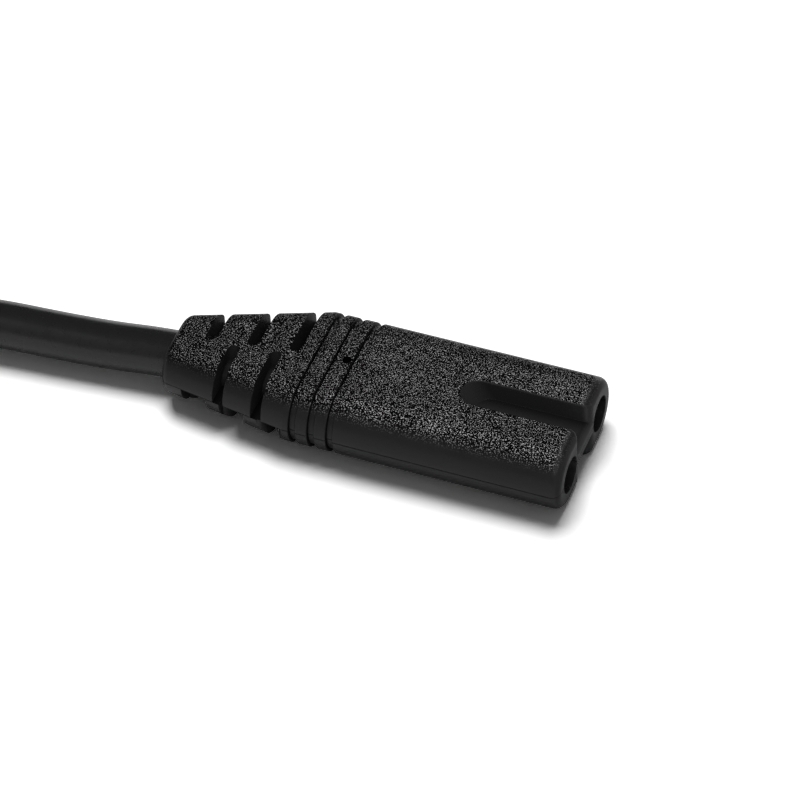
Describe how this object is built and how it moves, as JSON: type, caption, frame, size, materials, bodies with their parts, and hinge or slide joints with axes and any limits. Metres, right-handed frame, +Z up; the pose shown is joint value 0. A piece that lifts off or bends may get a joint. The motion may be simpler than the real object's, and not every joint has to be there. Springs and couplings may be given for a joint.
{
  "type": "figure eight power connector",
  "caption": "Moulded figure eight connector with waist grooves and a slotted strain relief, on a round cord tied in a hank with a flat plug; feeds mains power to a small appliance.",
  "frame": {"origin": "middle of the connector's underside", "axes": "+X out of the connector's mating face, +Y across its two pin holes, +Z up"},
  "size_m": [0.1805, 0.0534, 0.0292],
  "materials": {
    "body_pvc": "spark-eroded grain",
    "carrier_plastic": "moulded",
    "contact_brass": "turned",
    "copper": "stranded copper",
    "core_brown": "extruded",
    "core_blue": "extruded",
    "cord_jacket": "satin extruded",
    "strap": "hook and loop",
    "plug_pvc": "fine grain",
    "pin_nickel": "nickel plated",
    "sleeve_plastic": "moulded",
    "bridge_plastic": "moulded"
  },
  "bodies": {
    "root": {"connector_body": "body_pvc", "contact_carrier": "carrier_plastic", "contact_left": "contact_brass", "contact_right": "contact_brass", "core_left": "core_brown", "core_right": "core_blue", "conductor_left": "copper", "conductor_right": "copper", "cord_lead": "cord_jacket", "cord_hank": "cord_jacket", "hank_tie": "strap", "cord_tail": "cord_jacket", "plug_body": "plug_pvc", "plug_bridge": "bridge_plastic", "plug_pin_left": "pin_nickel", "plug_pin_right": "pin_nickel", "pin_sleeve_left": "sleeve_plastic", "pin_sleeve_right": "sleeve_plastic", "plug_core_left": "core_brown", "plug_core_right": "core_blue", "plug_conductor_left": "copper", "plug_conductor_right": "copper"}
  },
  "joints": []
}
